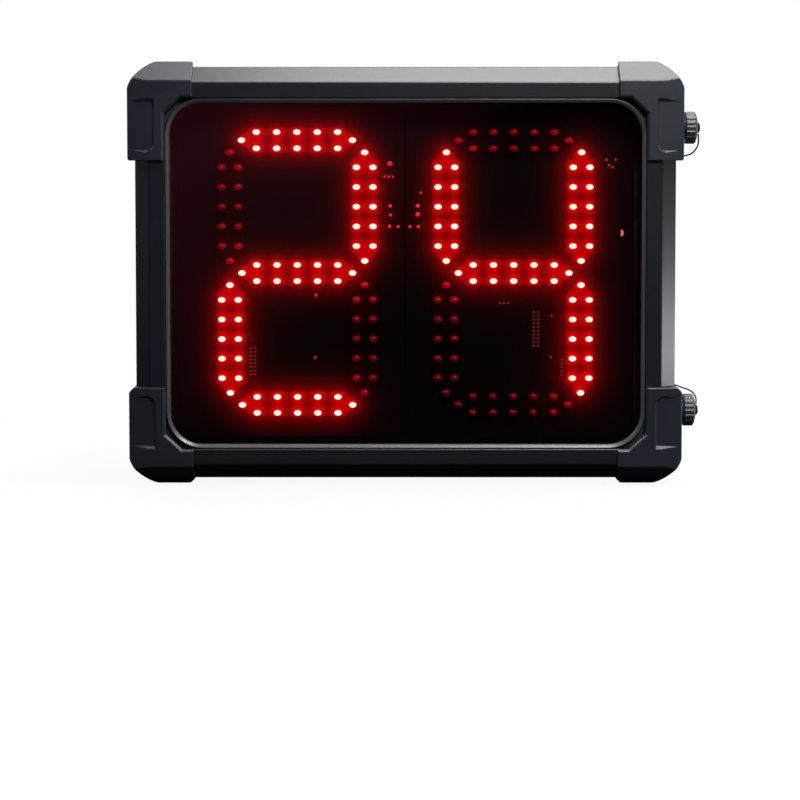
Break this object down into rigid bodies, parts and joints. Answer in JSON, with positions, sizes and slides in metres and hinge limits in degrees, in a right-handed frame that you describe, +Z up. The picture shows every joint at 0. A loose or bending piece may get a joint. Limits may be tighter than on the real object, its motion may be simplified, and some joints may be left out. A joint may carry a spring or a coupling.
{
  "type": "shot clock",
  "caption": "Boxed indoor shot clock with red LED digits behind a smoked window, moulded corners and capped side sockets.",
  "frame": {"origin": "centre of the rear cover's outer face", "axes": "+X to the viewer's right, +Z up, -Y out of the display"},
  "size_m": [0.4049, 0.0928, 0.2954],
  "materials": {
    "frame_profile": "satin black powder coat on extruded aluminium",
    "corner_moulding": "fine moulded texture",
    "bezel": "satin",
    "window": "red smoked acrylic, polished",
    "rubber_seal": "matt",
    "led_epoxy": "diffused red epoxy",
    "digit_board": "matt black solder mask",
    "control_board": "green solder mask",
    "steel_sheet": "zinc plated sheet",
    "rear_panel": "satin black paint on sheet",
    "zinc_screw": "zinc plated",
    "black_nylon": "moulded",
    "lead_sheath": "satin sheath",
    "ribbon": "flat cable"
  },
  "bodies": {
    "case": {"top_profile": "frame_profile", "bottom_profile": "frame_profile", "left_profile": "frame_profile", "right_profile": "frame_profile", "top_left_corner": "corner_moulding", "top_right_corner": "corner_moulding", "bottom_left_corner": "corner_moulding", "bottom_right_corner": "corner_moulding", "lens_bezel": "bezel", "lens": "window", "lens_tape": "rubber_seal", "rear_cover_gasket": "rubber_seal", "upper_socket_gasket": "rubber_seal", "lower_socket_gasket": "rubber_seal", "left_segment_a": "led_epoxy", "left_segment_b": "led_epoxy", "left_segment_c": "led_epoxy", "left_segment_d": "led_epoxy", "left_segment_e": "led_epoxy", "left_segment_f": "led_epoxy", "left_segment_g": "led_epoxy", "right_segment_a": "led_epoxy", "right_segment_b": "led_epoxy", "right_segment_c": "led_epoxy", "right_segment_d": "led_epoxy", "right_segment_e": "led_epoxy", "right_segment_f": "led_epoxy", "right_segment_g": "led_epoxy", "remote_receiver": "led_epoxy", "left_digit_board": "digit_board", "right_digit_board": "digit_board", "control_board": "control_board", "board_tray": "steel_sheet", "power_supply_base": "steel_sheet", "power_supply_cover": "steel_sheet", "rear_cover": "rear_panel", "cover_screw_1": "zinc_screw", "cover_screw_2": "zinc_screw", "cover_screw_3": "zinc_screw", "cover_screw_4": "zinc_screw", "upper_tether_screw": "zinc_screw", "lower_tether_screw": "zinc_screw", "upper_socket": "black_nylon", "upper_socket_insert": "black_nylon", "upper_socket_nut": "black_nylon", "lower_socket": "black_nylon", "lower_socket_insert": "black_nylon", "lower_socket_nut": "black_nylon", "buzzer": "black_nylon", "mains_lead": "lead_sheath", "signal_lead": "lead_sheath", "upper_tether": "lead_sheath", "lower_tether": "lead_sheath", "ribbon_cable": "ribbon"},
    "upper_cap_swivel": {"upper_tether_ring": "zinc_screw"},
    "upper_dust_cap": {"upper_dust_cap": "black_nylon", "upper_cap_seal": "rubber_seal"},
    "lower_cap_swivel": {"lower_tether_ring": "zinc_screw"},
    "lower_dust_cap": {"lower_dust_cap": "black_nylon", "lower_cap_seal": "rubber_seal"}
  },
  "joints": [
    {"name": "upper_cap_travel", "type": "slide", "parent": "case", "child": "upper_cap_swivel", "axis": [1, 0, 0], "range_m": [0, 0.0075], "deforming": ["upper_tether"]},
    {"name": "upper_cap_turn", "type": "hinge", "parent": "upper_cap_swivel", "child": "upper_dust_cap", "pos_m": [0.2047, -0.028, 0.102], "axis": [1, 0, 0], "range_deg": [0, 1800]},
    {"name": "lower_cap_travel", "type": "slide", "parent": "case", "child": "lower_cap_swivel", "axis": [1, 0, 0], "range_m": [0, 0.0075], "deforming": ["lower_tether"]},
    {"name": "lower_cap_turn", "type": "hinge", "parent": "lower_cap_swivel", "child": "lower_dust_cap", "pos_m": [0.2047, -0.028, -0.102], "axis": [1, 0, 0], "range_deg": [0, 1800]}
  ],
  "couplings": [
    {"joint": "upper_cap_turn", "follows": "upper_cap_travel", "rad_per_m": 4188.8},
    {"joint": "lower_cap_turn", "follows": "lower_cap_travel", "rad_per_m": 4188.8}
  ]
}
